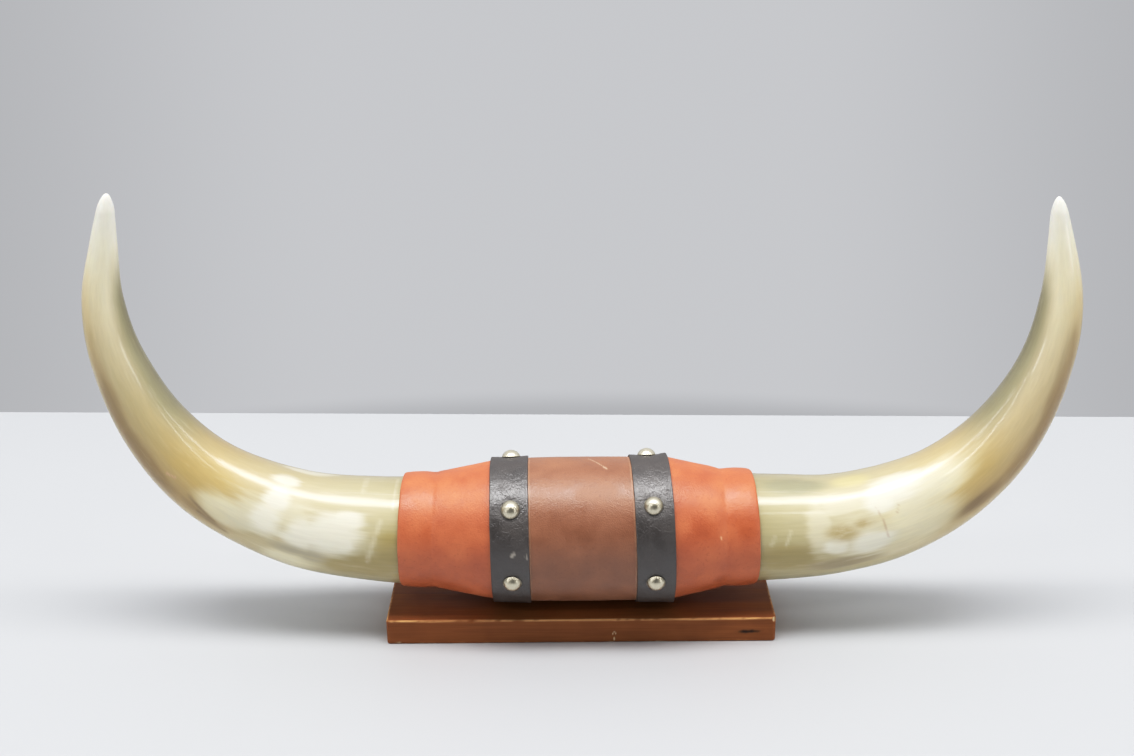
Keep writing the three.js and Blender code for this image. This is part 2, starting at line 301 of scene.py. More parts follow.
# A place where the board is chipped or stained: its half sizes, how deep it goes and how bare it is.
Dent = namedtuple("Dent", "place size depth pale")
BOARD_CHIPS = [
    Dent((130.6, -35.8, 16.6), (2.2, 2.2, 2.6), 1.3, 1.0),
    Dent((22.4, -36.3, 2.8), (0.9, 1.2, 2.4), 0.5, 1.0),
    Dent((21.4, -36.3, 6.6), (0.7, 1.0, 1.3), 0.3, 1.0),
    Dent((22.4, -36.3, 7.9), (1.2, 1.0, 0.6), 0.3, 1.0),
    Dent((23.3, -36.3, 6.8), (0.6, 1.0, 1.2), 0.3, 1.0),
    Dent((52, -36.0, 0.4), (2.4, 1.2, 0.8), 0.5, 0.7),
    Dent((-124, -36.0, 1.2), (1.6, 1.2, 1.2), 0.6, 0.7),
    Dent((-60, 36.2, 17.6), (2.6, 1.4, 1.2), 0.7, 0.8),
    Dent((88, 36.2, 0.6), (3.0, 1.4, 1.0), 0.6, 0.7),
]
BOARD_KNOT = Dent((113, -36.2, 7.6), (9.5, 4, 1.5), 0, 0)


# ---- Meshes ----


def mesh_piece(name, points, faces, finishes, replaced, face_finish=None, values=None):
    """An object of one mesh, in millimetres, that rides on the part and replaces CAD nodes.

    values names numbers or vectors, one per point, that the finish reads. face_finish gives each face's
    place in finishes.
    """
    mesh = bpy.data.meshes.new(name)
    mesh.from_pydata((np.asarray(points) * MM).tolist(), [], faces)
    for finish in finishes:
        mesh.materials.append(finish)
    if face_finish is not None:
        mesh.polygons.foreach_set("material_index", face_finish)
    mesh.polygons.foreach_set("use_smooth", [True] * len(mesh.polygons))
    for key, value in (values or {}).items():
        kind, field = ("FLOAT_VECTOR", "vector") if np.ndim(value) == 2 else ("FLOAT", "value")
        attribute = mesh.attributes.new(key, kind, "POINT")
        attribute.data.foreach_set(field, np.ravel(value).astype(np.float32))
    mesh.update()
    piece = bpy.data.objects.new(name, mesh)
    bpy.context.scene.collection.objects.link(piece)
    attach(piece, BODY)
    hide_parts(*replaced)
    return piece


def grid_faces(rows, columns, close_rows=False):
    """Quads of a grid of points whose columns close on themselves, and its rows too if asked."""
    faces = []
    for i in range(rows if close_rows else rows - 1):
        below, above = i * columns, (i + 1) % rows * columns
        for k in range(columns):
            following = (k + 1) % columns
            faces.append((below + k, below + following, above + following, above + k))
    return faces


def tube_faces(rows, columns, flip):
    """Quads of a tube of rings, and one face over each of its ends."""
    faces = grid_faces(rows, columns)
    faces.append(tuple(reversed(range(columns))))
    faces.append(tuple(range((rows - 1) * columns, rows * columns)))
    return [face[::-1] for face in faces] if flip else faces


def lumps(points, size, seed):
    """Smooth noise from -1 to 1 at each point, with bumps of about that size in millimetres."""
    flat = np.reshape(points, (-1, 3)) / size + seed
    return np.array([noise.noise(Vector(place)) for place in flat]).reshape(np.shape(points)[:-1])


def relief(points, layers):
    """Several layers of noise at each point, added up."""
    return sum(depth * lumps(points, size, seed) for depth, size, seed in layers)


def catmull_rom(rows, t):
    """Uniform Catmull-Rom interpolation of rows of numbers, at t from 0 to the last index."""
    rows = np.asarray(rows, float)
    start = np.minimum(np.floor(t).astype(int), len(rows) - 2)
    padded = np.vstack([2 * rows[0] - rows[1], rows, 2 * rows[-1] - rows[-2]])
    before, here, there, after = (padded[start + k] for k in range(4))
    w = (t - start)[:, None]
    cubic = 3 * (here - there) + after - before
    square = 2 * before - 5 * here + 4 * there - after
    return here + w * ((there - before) + w * (square + w * cubic)) / 2


def smooth_step(low, high, value):
    """The value's place between low and high, eased at both ends, from 0 to 1."""
    share = np.clip((value - low) / (high - low), 0, 1)
    return share * share * (3 - 2 * share)


def zone(value, rise, fall):
    """1 from the end of the rise to the start of the fall, easing to 0 outside them."""
    return smooth_step(*rise, value) * (1 - smooth_step(*fall, value))


def turn_from(start, degrees):
    """How far round from start each angle is, from -180 to 180 degrees."""
    return (degrees - start + 180) % 360 - 180


def line_share(line, along, degrees, radius, soft=0.2):
    """How much of a thin line lies at each point of a round surface, from 0 to 1."""
    (start, start_degrees), (end, end_degrees) = line.start, line.end
    across = np.radians(turn_from(start_degrees, degrees)) * radius
    run, rise = end - start, np.radians(end_degrees - start_degrees) * radius
    w = np.clip(((along - start) * run + across * rise) / (run ** 2 + rise ** 2), 0, 1)
    distance = np.hypot(along - start - w * run, across - w * rise)
    return 1 - smooth_step(soft, soft + 1, distance / line.half_width)


def even_line(points, step):
    """A line of straight stretches with a point about every step."""
    line = []
    for start, end in zip(points, points[1:]):
        count = max(1, round(math.dist(start, end) / step))
        line += [np.add(start, np.subtract(end, start) * k / count) for k in range(count)]
    return np.array(line + [points[-1]])


# ---- Node trees ----


def screen(red, green, blue):
    """A colour given as it looks on a screen, from 0 to 255, as the linear colour that a node takes."""
    def linear(level):
        level /= 255
        return level / 12.92 if level <= 0.04045 else ((level + 0.055) / 1.055) ** 2.4
    return (linear(red), linear(green), linear(blue), 1.0)


# The Mix node's sockets for colours, which share their names with those for numbers and vectors.
MIX_FIRST, MIX_SECOND, MIX_RESULT = 6, 7, 2


class Tree:
    """A node tree. Each method adds a node and gives back its output."""

    def __init__(self, tree):
        self.tree = tree

    def feed(self, socket, value):
        if isinstance(value, bpy.types.NodeSocket):
            self.tree.links.new(value, socket)
        else:
            socket.default_value = value

    def node(self, kind, inputs, **settings):
        made = self.tree.nodes.new("ShaderNode" + kind)
        for key, value in settings.items():
            setattr(made, key, value)
        for key, value in inputs.items():
            self.feed(made.inputs[key], value)
        return made

    def value(self, name):
        return self.node("Attribute", {}, attribute_name=name).outputs["Fac"]

    def vector(self, name):
        return self.node("Attribute", {}, attribute_name=name).outputs["Vector"]

    def place(self):
        return self.node("TexCoord", {}).outputs["Object"]

    def scaled(self, vector, factors):
        return self.node("Mapping", {"Vector": vector, "Scale": factors}).outputs["Vector"]

    def noise(self, vector, size, detail=3.0, roughness=0.5, distortion=0.0):
        """Noise whose bumps are about size millimetres."""
        inputs = {
            "Vector": vector,
            "Scale": 1 / (size * MM),
            "Detail": detail,
            "Roughness": roughness,
            "Distortion": distortion,
        }
        return self.node("TexNoise", inputs).outputs["Fac"]

    def cells(self, vector, size):
        """The distance to the middle of the nearest of many cells of about size millimetres."""
        inputs = {"Vector": vector, "Scale": 1 / (size * MM)}
        return self.node("TexVoronoi", inputs).outputs["Distance"]

    def math(self, operation, *values):
        return self.node("Math", dict(enumerate(values)), operation=operation).outputs[0]

    def between(self, low, high, value, to_low=0.0, to_high=1.0):
        """The value's place between low and high, eased at both ends, from to_low to to_high."""
        inputs = {
            "Value": value,
            "From Min": low,
            "From Max": high,
            "To Min": to_low,
            "To Max": to_high,
        }
        return self.node("MapRange", inputs, interpolation_type="SMOOTHSTEP").outputs["Result"]

    def mix(self, share, first, second, blend="MIX"):
        made = self.node("Mix", {}, data_type="RGBA", blend_type=blend)
        self.feed(made.inputs["Factor"], share)
        self.feed(made.inputs[MIX_FIRST], first)
        self.feed(made.inputs[MIX_SECOND], second)
        return made.outputs[MIX_RESULT]

    def ramp(self, share, stops):
        """Colours at given shares, from low to high."""
        made = self.node("ValToRGB", {"Fac": share})
        elements = made.color_ramp.elements
        made.color_ramp.interpolation = "B_SPLINE"
        for _ in stops[2:]:
            elements.new(0.5)
        for element, (position, color) in zip(elements, stops):
            element.position = position
            element.color = color
        return made.outputs["Color"]

    def bump(self, height, depth, normal=None):
        """Relief of that depth in millimetres, on top of other relief if normal is given."""
        inputs = {"Height": height, "Distance": depth * MM, "Strength": 1.0}
        if normal is not None:
            inputs["Normal"] = normal
        return self.node("Bump", inputs).outputs["Normal"]


class Finish(Tree):
    """A material made of nodes."""

    def __init__(self, name):
        self.material = bpy.data.materials.new(name)
        self.material.use_nodes = True
        super().__init__(self.material.node_tree)
        self.shader = self.tree.nodes["Principled BSDF"]

    def done(self, **sockets):
        for key, value in sockets.items():
            self.feed(self.shader.inputs[key.replace("_", " ")], value)
        return self.material


# ---- Finishes ----


def horn_finish(name, body_stops):
    """Polished horn: fibres along its length, milky clouds, brown streaks and a cream tip, with painted
    shade along its edges, inside its bend and along its top.

    body_stops are the colours along the horn from its base at 0 to its tip at 1.
    """
    f = Finish(name)
    grown = f.vector("grown")
    fibres = f.noise(f.scaled(grown, (1, 1, 0.03)), 1.6, detail=4)
    flow = f.noise(f.scaled(grown, (1, 1, 0.14)), 10, detail=3, distortion=0.4)
    feather = f.noise(f.scaled(grown, (1, 1, 0.09)), 2.6, detail=3, roughness=0.55)
    fine = f.noise(f.scaled(grown, (1, 1, 0.3)), 3.5, detail=3, roughness=0.55)

    wander = f.between(0, 1, flow, -0.035, 0.035)
    color = f.ramp(f.math("ADD", f.value("share"), wander), body_stops)
    # Painted shade inside the bend.
    color = f.mix(f.value("inner"), color, screen(152, 149, 120))
    for kind, tone, strength in (
        ("tan", screen(208, 182, 124), 0.65),
        # Painted shade along the horn's edges.
        ("umber", screen(140, 108, 62), 0.45),
        ("cream", screen(246, 237, 202), 0.9),
        ("yellow", screen(238, 224, 168), 0.8),
        ("khaki", screen(176, 159, 104), 0.85),
        # Painted shade low on the outside of the horn.
        ("dusk", screen(146, 126, 92), 0.6),
        ("grey", screen(174, 171, 142), 0.9),
    ):
        veil = f.math("ADD", f.value(kind), f.between(0.2, 0.8, feather, -0.07, 0.07))
        color = f.mix(f.between(0.05, 1, veil, 0, strength), color, tone)

    for kind, tone, edge, strength in (
        ("haze", screen(234, 226, 196), 0.22, 0.85),
        ("milk", screen(250, 245, 224), 0.13, 0.95),
    ):
        ragged = f.math("ADD", f.value(kind), f.between(0.2, 0.8, feather, -edge, edge))
        ragged = f.math("ADD", ragged, f.between(0.2, 0.8, flow, -0.14, 0.14))
        color = f.mix(f.between(0.07, 0.9, ragged, 0, strength), color, tone)

    for kind, tone, texture, strength in (
        ("umbra", screen(190, 170, 124), fine, 0.85),
        ("smudge", screen(190, 181, 156), feather, 0.9),
        ("streak", screen(136, 112, 78), fibres, 0.6),
        ("pale", screen(238, 232, 208), fine, 0.4),
        ("scar", screen(228, 192, 160), fine, 0.9),
        ("scratch", screen(176, 132, 98), fine, 0.4),
    ):
        broken = f.math("MULTIPLY", f.value(kind), f.between(0.25, 0.6, texture, 0.35, 1))
        color = f.mix(f.math("MULTIPLY", broken, strength), color, tone)

    # Painted shade on the outside of the bend and along the top.
    color = f.mix(f.value("painted_outer_shade"), color, screen(222, 208, 176), "MULTIPLY")
    color = f.mix(f.value("painted_top_shade"), color, screen(208, 205, 196), "MULTIPLY")
    shade = f.between(0.3, 0.7, fibres, 0.96, 1.02)
    shade_color = f.node("CombineColor", {0: shade, 1: shade, 2: shade}).outputs[0]
    color = f.mix(1.0, color, shade_color, "MULTIPLY")

    scuffs = f.noise(grown, 14, detail=6, roughness=0.7)
    waves = f.bump(f.noise(f.scaled(grown, (1, 1, 0.15)), 7, detail=2), 0.05)
    return f.done(
        Base_Color=color,
        Roughness=f.between(0.35, 0.75, scuffs, 0.34, 0.46),
        Normal=f.bump(fibres, 0.012, waves),
        IOR=1.54,
        Specular_IOR_Level=0.5,
        Coat_Weight=0.7,
        Coat_Roughness=0.1,
        Subsurface_Weight=0.12,
        Subsurface_Radius=(1.0, 0.75, 0.45),
        Subsurface_Scale=0.004,
    )


def leather_finish(name, colors, grain, roughness, specular, ior, fold_depth, scratch_tone):
    """Leather with a pebbled grain, creases, mottling and a few pale scratches.

    colors are its dark, middle and light one, and grain is the size of its pebbles in millimetres.
    """
    dark, middle, light = colors
    f = Finish(name)
    place = f.place()
    mottle = f.noise(place, 16, detail=5, roughness=0.5)
    patches = f.noise(place, 50, detail=3)
    speck = f.noise(place, 2.2, detail=4, roughness=0.7)
    color = f.ramp(
        f.math("ADD", f.math("MULTIPLY", mottle, 0.65), f.math("MULTIPLY", patches, 0.35)),
        [(0.18, dark), (0.5, middle), (0.82, light)],
    )
    color = f.mix(f.between(0.54, 0.7, speck, 0, 0.4), color, dark)
    color = f.mix(f.math("MULTIPLY", f.value("scuff"), 0.9), color, scratch_tone)
    raw_share = f.math("MULTIPLY", f.value("raw"), f.between(0.3, 0.6, speck, 0.35, 0.85))
    color = f.mix(raw_share, color, screen(190, 146, 116))

    pebbles = f.cells(place, grain)
    folds = f.noise(place, 7, detail=2, distortion=1.2)
    crease = f.between(0, 0.035, f.math("ABSOLUTE", f.math("SUBTRACT", folds, 0.5)))
    normal = f.bump(crease, 0.2 * fold_depth)
    for height, depth in ((folds, fold_depth), (pebbles, 0.1), (speck, 0.16)):
        normal = f.bump(height, depth, normal)
    return f.done(
        Base_Color=color,
        Roughness=f.between(0.35, 0.65, mottle, roughness - 0.07, roughness + 0.07),
        Normal=normal,
        IOR=ior,
        Specular_IOR_Level=specular,
    )


def raw_leather_finish():
    """The pale fibrous edge where leather was cut."""
    f = Finish("raw_leather_edge")
    fibre = f.noise(f.place(), 0.6, detail=5, roughness=0.7)
    color = f.ramp(fibre, [(0.35, screen(168, 118, 78)), (0.65, screen(226, 196, 152))])
    return f.done(Base_Color=color, Roughness=0.85, Normal=f.bump(fibre, 0.15))


def nickel_finish():
    """Nickel plate, slightly dulled and scuffed."""
    f = Finish("nickel_plate")
    place = f.place()
    haze = f.noise(place, 3, detail=5, roughness=0.7)
    color = f.mix(haze, screen(206, 198, 176), screen(228, 222, 204))
    return f.done(
        Base_Color=color,
        Metallic=1.0,
        Roughness=f.between(0.3, 0.7, haze, 0.28, 0.42),
        Normal=f.bump(f.noise(place, 2.5, detail=2), 0.006),
    )


def stained_wood_finish():
    """Red-brown stained board: grain along X, bare wood where its edges are worn."""
    f = Finish("stained_board")
    place = f.place()
    lines = f.noise(f.scaled(place, (0.025, 1, 1)), 1.1, detail=5, roughness=0.6)
    bands = f.noise(f.scaled(place, (0.05, 1, 1)), 6, detail=4, distortion=0.8)
    blotch = f.noise(place, 30, detail=3)
    color = f.ramp(
        f.math("ADD", f.math("MULTIPLY", lines, 0.45), f.math("MULTIPLY", bands, 0.55)),
        [(0.25, screen(128, 74, 37)), (0.5, screen(154, 94, 50)), (0.75, screen(172, 112, 64))],
    )
    color = f.mix(f.between(0.4, 0.7, blotch, 0, 0.3), color, screen(118, 64, 30))
    color = f.mix(f.value("stain"), color, screen(52, 34, 26))
    bare = f.math("MULTIPLY", f.value("bare"), f.between(0.35, 0.6, lines, 0.35, 1))
    color = f.mix(bare, color, screen(222, 178, 124))
    color = f.mix(f.value("chip"), color, screen(222, 204, 166))
    return f.done(
        Base_Color=color,
        Roughness=f.between(0.3, 0.7, bands, 0.5, 0.65),
        Normal=f.bump(lines, 0.06),
        Specular_IOR_Level=0.3,
    )


def turned_wood_finish():
    """Plain turned wood, unfinished."""
    f = Finish("turned_core")
    place = f.place()
    grain = f.noise(f.scaled(place, (0.04, 1, 1)), 1.5, detail=5)
    color = f.ramp(grain, [(0.35, screen(160, 118, 76)), (0.65, screen(206, 168, 120))])
    return f.done(Base_Color=color, Roughness=0.75, Normal=f.bump(grain, 0.1))


def screw_finish():
    """Zinc-plated steel."""
    f = Finish("screw_steel")
    haze = f.noise(f.place(), 2, detail=4)
    color = f.mix(haze, screen(150, 150, 146), screen(196, 196, 190))
    return f.done(Base_Color=color, Metallic=1.0, Roughness=f.between(0.3, 0.7, haze, 0.3, 0.45))


# ---- The horns ----


def mark_share(mark, along, degrees, radius, wobble):
    """How much of a soft patch lies at each point of a horn, from 0 to 1."""
    across = np.radians(turn_from(mark.degrees, degrees)) * radius / mark.half_width
    distance = np.hypot((along - mark.along) / mark.half_length, across)
    return 1 - smooth_step(0.2, 1.5, distance + wobble)


def horn_path(side):
    """The horn's centre line, the direction along it and its radius, from the base ring to the tip."""
    last = len(side["stations"]) - 1
    t = last * (1 - (1 - np.arange(HORN_RINGS + 1) / HORN_RINGS) ** RING_CROWDING)
    stations = catmull_rom(side["stations"], t)
    center, radius = stations[:, :3], stations[:, 3]
    axis = np.gradient(center, axis=0)
    axis /= np.linalg.norm(axis, axis=1)[:, None]
    axis[0] = (side["sign"], 0, 0)
    from_tip = np.linalg.norm(center - center[-1], axis=1)
    radius = radius * np.sqrt(1 - (1 - np.minimum(from_tip / TIP_LENGTH, 1)) ** 2)
    radius[-1] = TIP_FACET
    return center, axis, radius


def horn_markings(side, s, degrees, r, wobble):
    """Every kind of marking, and the painted shade on the horn's sides, as its share at each point of a
    horn: s along it, on a radius of r.
    """
    shares = {}
    for kind in sorted({mark.kind for one in SIDES for mark in one["marks"] + one["lines"]}):
        found = [mark_share(mark, s, degrees, r, wobble) for mark in side["marks"] if mark.kind == kind]
        found += [line_share(line, s, degrees, r) for line in side["lines"] if line.kind == kind]
        shares[kind] = np.maximum.reduce([np.zeros(s.shape), *found])

    # Painted shade inside the bend, on the outside of the bend and along the top.
    inside_bend = smooth_step(0.35, 0.95, -np.cos(np.radians(degrees - 8)))
    shares["inner"] = 0.85 * inside_bend * zone(s, *INNER_SHADE)
    turn = (degrees + 90) % 360 - 90
    outside_bend = 1 - smooth_step(20, 105, np.abs(turn - 10))
    shares["painted_outer_shade"] = outside_bend * zone(s, *OUTER_SHADE)
    top = 1 - smooth_step(15, 70, np.abs(turn - 208))
    shares["painted_top_shade"] = top * (1 - smooth_step(*TOP_SHADE_END, s))
    return shares


def horn(side, finish):
    """One horn: its skin of rings from base to tip, and the hollow in its base."""
    sign = side["sign"]
    center, axis, radius = horn_path(side)
    along = np.concatenate([[0], np.cumsum(np.linalg.norm(np.diff(center, axis=0), axis=1))])
    outer = sign * np.cross((0, 1, 0), axis)
    outer /= np.linalg.norm(outer, axis=1)[:, None]
    front = np.cross(outer, axis) * sign

    angle = np.linspace(0, 2 * np.pi, HORN_SIDES, endpoint=False)
    away = outer[:, None] * np.cos(angle)[:, None] + front[:, None] * np.sin(angle)[:, None]
    s = np.broadcast_to(along[:, None], away.shape[:2])
    r = np.broadcast_to(radius[:, None], away.shape[:2])
    degrees = np.broadcast_to(np.degrees(angle), away.shape[:2])
    grown = np.stack([r * np.cos(angle), r * np.sin(angle), s], axis=-1)
    stretched = grown * ALONG_GRAIN
    swell = relief(stretched, HORN_SWELLS) * np.minimum(r / FULL_SWELL_RADIUS, 1)
    skin = center[:, None] + away * (r + swell)[..., None]

    base = skin[0].mean(axis=0)
    hollow = [
        base + (sign * depth, 0, 0) + away[0] * width
        for depth, width in ((PEG_LENGTH, PEG_END_RADIUS), (0, PEG_BASE_RADIUS))
    ]
    points = np.concatenate([hollow, skin])

    values = {"grown": grown * MM, "share": s / along[-1]}
    values.update(horn_markings(side, s, degrees, r, relief(stretched, PATCH_EDGES)))
    for key, value in values.items():
        with_hollow = np.concatenate([np.repeat(value[:1], len(hollow), axis=0), value])
        values[key] = with_hollow.reshape(-1, *value.shape[2:])
    faces = tube_faces(*points.shape[:2], flip=sign > 0)
    return mesh_piece("polished_horn_" + side["name"], points.reshape(-1, 3), faces, [finish],
                      ["horn_" + side["name"]], values=values)


# ---- The barrel ----


def round_barrel(x, radius, angle):
    """Points round the barrel's axis; x, radius and angle broadcast together."""
    x, radius, angle = np.broadcast_arrays(x, radius, angle)
    return np.stack([x, -radius * np.cos(angle), AXIS_Z + radius * np.sin(angle)], axis=-1)


def lean_shift(lean, points):
    """How far along X a ring that leans by degrees round Y and Z moves each of its points."""
    round_y, round_z = np.tan(np.radians(lean))
    return round_y * (points[..., 2] - AXIS_Z) + round_z * points[..., 1]


def scuffs(lines, points, angle):
    """Worn spots and scratches on the barrel, as their share at each point."""
    x = points[..., 0]
    degrees = np.broadcast_to(np.degrees(angle), x.shape)
    radius = np.hypot(points[..., 1], points[..., 2] - AXIS_Z)
    shares = [line_share(line, x, degrees, radius, soft=0.3) for line in lines]
    return np.maximum.reduce([np.zeros(x.shape), *shares])


def band(name, profile, shape, finishes, node, scuff_lines, raw=None, edge_rows=()):
    """A closed band round the barrel. profile holds (x, radius) round its cross-section.

    shape turns x, radius and angle into points, and raw turns those into shares of bare leather. The
    faces of edge_rows have the second finish.
    """
    profile = np.asarray(profile, float)
    angle = np.linspace(0, 2 * np.pi, BARREL_SIDES, endpoint=False)[None]
    points = shape(profile[:, :1], profile[:, 1:], angle)
    faces = grid_faces(len(profile), BARREL_SIDES, close_rows=True)
    edge = [1 if face // BARREL_SIDES in edge_rows else 0 for face in range(len(faces))]
    x, reach = points[:, 0, 0], -points[:, 0, 1]
    area = (x * np.roll(reach, -1) - np.roll(x, -1) * reach).sum()
    if area < 0:
        faces = [face[::-1] for face in faces]
    raw_shares = raw(points) if raw else np.zeros(points.shape[:2])
    values = {"scuff": scuffs(scuff_lines, points, angle).reshape(-1), "raw": raw_shares.reshape(-1)}
    return mesh_piece(name, points.reshape(-1, 3), faces, finishes, [node],
                      face_finish=edge, values=values)


def sleeve(side, finishes):
    """Orange leather from the barrel onto a horn's base, with a raised collar at its outer end."""
    sign, end = side["sign"], side["sleeve_end"]
    strap_edge = side["strap_x"] + STRAP_WIDTH / 2
    count = len(side["sleeve_outside"])
    outside = catmull_rom(side["sleeve_outside"], np.linspace(0, count - 1, SLEEVE_ROWS))
    inside = even_line(side["sleeve_inside"], SLEEVE_LINING_STEP)
    lip = [(end + 0.25, outside[0][1] - 0.25), (end + 0.3, outside[0][1] - 0.6)]
    profile = np.concatenate([outside, inside, lip])
    edge_rows = range(len(outside) + len(inside) - 1, len(profile))

    def shape(x, radius, angle):
        share = np.clip((x - strap_edge) / (end - strap_edge), 0, 1)
        smooth = round_barrel(sign * x, radius, angle)
        points = round_barrel(sign * x, radius + relief(smooth, SLEEVE_WRINKLES), angle)
        ragged = SLEEVE_RAGGED * lumps(points * (0, 1, 1), 9, 8.8 + sign) * share ** 6
        points[..., 0] += share * lean_shift(side["sleeve_lean"], points) + sign * ragged
        points[..., 2] += side["lift"] * share ** 2
        return points

    return band("leather_sleeve_" + side["name"], profile, shape, finishes,
                "sleeve_" + side["name"], side["sleeve_scuffs"], edge_rows=edge_rows)


def center_leather(finish):
    """Brown leather round the middle of the barrel, slightly crowned."""
    end = SEAM - GAP / 2
    outside = even_line([(x, 0) for x in (-end, -CROWN_START, 0, CROWN_START, end)], WRAP_STEP)
    outside[:, 1] = CENTER_CROWN - (CENTER_CROWN - CENTER_FULL) * (outside[:, 0] / CROWN_START) ** 2
    turning = [(end, outside[-1][1]), (0, CENTER_CROWN), (-end, outside[0][1])]
    inside = even_line([(x, radius - LEATHER) for x, radius in turning], WRAP_LINING_STEP)

    def shape(x, radius, angle):
        smooth = round_barrel(x, radius, angle)
        return round_barrel(x, radius + relief(smooth, WRAP_WRINKLES), angle)

    def rims(points):
        """The pale line beside each strap's inner edge."""
        share = np.zeros(points.shape[:2])
        for side in SIDES:
            edge = side["sign"] * (side["strap_x"] - STRAP_WIDTH / 2)
            edge = edge + lean_shift(side["strap_lean"], points)
            inward = side["sign"] * (edge - points[..., 0]) + 0.25 * lumps(points, 7, 3.3)
            share = np.maximum(share, zone(inward, RIM_START, RIM_END))
        return share

    return band("leather_wrap", np.concatenate([outside, inside]), shape, [finish],
                "leather_center", WRAP_SCUFFS, rims)


def strap(side, finish):
    """Black leather over a seam, pressed in by its nails and resting on the board."""
    sign, middle = side["sign"], side["strap_x"]
    inner, outer = side["strap_radii"]
    half = STRAP_WIDTH / 2
    slope = (outer - inner) / STRAP_WIDTH
    bevel_in, bevel_down = STRAP_BEVEL
    flat = half - STRAP_CORNER
    lining = half - STRAP_INNER_CORNER

    def face(x):
        return inner + slope * (x + half)

    top = [(x, face(x)) for x in np.linspace(-flat, flat, STRAP_ROWS)]
    profile = np.array(
        [(-half, inner - STRAP_CORNER), (bevel_in - half, inner - bevel_down)]
        + top
        + [(half - bevel_in, outer - bevel_down), (half, outer - STRAP_CORNER)]
        + [(half, outer - STRAP_THICKNESS + STRAP_INNER_CORNER)]
        + [(x, face(x) - STRAP_THICKNESS) for x in np.linspace(lining, -lining, STRAP_LINING_ROWS)]
        + [(-half, inner - STRAP_THICKNESS + STRAP_INNER_CORNER)]
    )

    def shape(x, radius, angle):
        on_top = radius > face(x) - STRAP_THICKNESS / 2
        smooth = round_barrel(x, radius, angle)
        wrinkle = 0.12 * lumps(smooth + middle, 14, 5.5 + sign) + 0.06 * lumps(smooth, 5, 2.5)
        lifted = 0.35 + 0.65 * smooth_step(0.2, 1, np.sin(angle))
        curl = side["strap_flare"] * smooth_step(0.5 * half, half, x) * lifted
        press = 0
        for degrees in side["nail_angles"]:
            across = np.radians(turn_from(degrees, np.degrees(angle))) * radius
            distance = np.hypot(x - (side["nail_x"] - middle), across)
            press = press + NAIL_PRESS * np.exp(-((distance / NAIL_PRESS_RADIUS) ** 4))
        points = round_barrel(sign * (middle + x), radius + wrinkle + curl - press * on_top, angle)
        ragged = STRAP_RAGGED * lumps(points, 11, 4.0 + sign)
        points[..., 0] += lean_shift(side["strap_lean"], points) + ragged * np.abs(x / half) ** 8
        floor = BOARD_TOP + STRAP_ABOVE_BOARD + np.where(on_top, 0, STRAP_THICKNESS * 0.6)
        points[..., 2] = np.maximum(points[..., 2], floor)
        return points

    return band("leather_strap_" + side["name"], profile, shape, [finish],
                "strap_" + side["name"], side["strap_scuffs"])


def dome_nail(side, number, degrees, finish):
    """A hollow dome head on a pointed shank, driven square into the strap."""
    dome = (NAIL_HEAD_RADIUS ** 2 + NAIL_HEAD_HEIGHT ** 2) / 2 / NAIL_HEAD_HEIGHT
    reach = math.asin(NAIL_HEAD_RADIUS / dome)
    outside = [
        (dome * math.sin(a), NAIL_HEAD_HEIGHT - dome * (1 - math.cos(a)))
        for a in np.linspace(0.02, reach, 16)
    ]
    hollow = [
        ((dome - NAIL_WALL) * math.sin(a), NAIL_HEAD_HEIGHT - dome + (dome - NAIL_WALL) * math.cos(a))
        for a in np.linspace(reach * 0.97, 0.25, 8)
    ]
    rim = [
        (NAIL_HEAD_RADIUS + 0.02, -0.04),
        (NAIL_HEAD_RADIUS, -0.12),
        (NAIL_HEAD_RADIUS - 0.15, -0.3),
        (NAIL_HEAD_RADIUS - 0.5, -0.15),
    ]
    shank = [
        (NAIL_SHANK_RADIUS, hollow[-1][1]),
        (NAIL_SHANK_RADIUS, NAIL_POINT - NAIL_LENGTH),
        (NAIL_POINT_RADIUS, -NAIL_LENGTH),
    ]
    profile = outside + rim + hollow + shank
    turn = np.linspace(0, 2 * np.pi, NAIL_SIDES, endpoint=False)
    local = np.array([[(r * math.cos(a), r * math.sin(a), z) for a in turn] for r, z in profile])
    local[..., 2] += 0.02 * lumps(local + number * 20, 6, 6.6)

    angle = math.radians(degrees)
    away = Vector((0, -math.cos(angle), math.sin(angle)))
    inner, outer = side["strap_radii"]
    slope = (outer - inner) / STRAP_WIDTH
    seat = (inner + outer) / 2 + slope * (side["nail_x"] - side["strap_x"]) - NAIL_SINK
    place = np.array(away) * seat + (0, 0, AXIS_Z)
    place[0] = side["sign"] * side["nail_x"] + lean_shift(side["strap_lean"], place)
    square = Vector((-side["sign"] * slope, away.y, away.z)).normalized()
    turned = np.array(square.to_track_quat("Z", "X").to_matrix())
    points = local.reshape(-1, 3) @ turned.T + place

    faces = tube_faces(len(profile), NAIL_SIDES, flip=True)
    which = f"{side['name']}_{number}"
    return mesh_piece("dome_nail_" + which, points, faces, [finish], ["stud_" + which])


# ---- The board ----


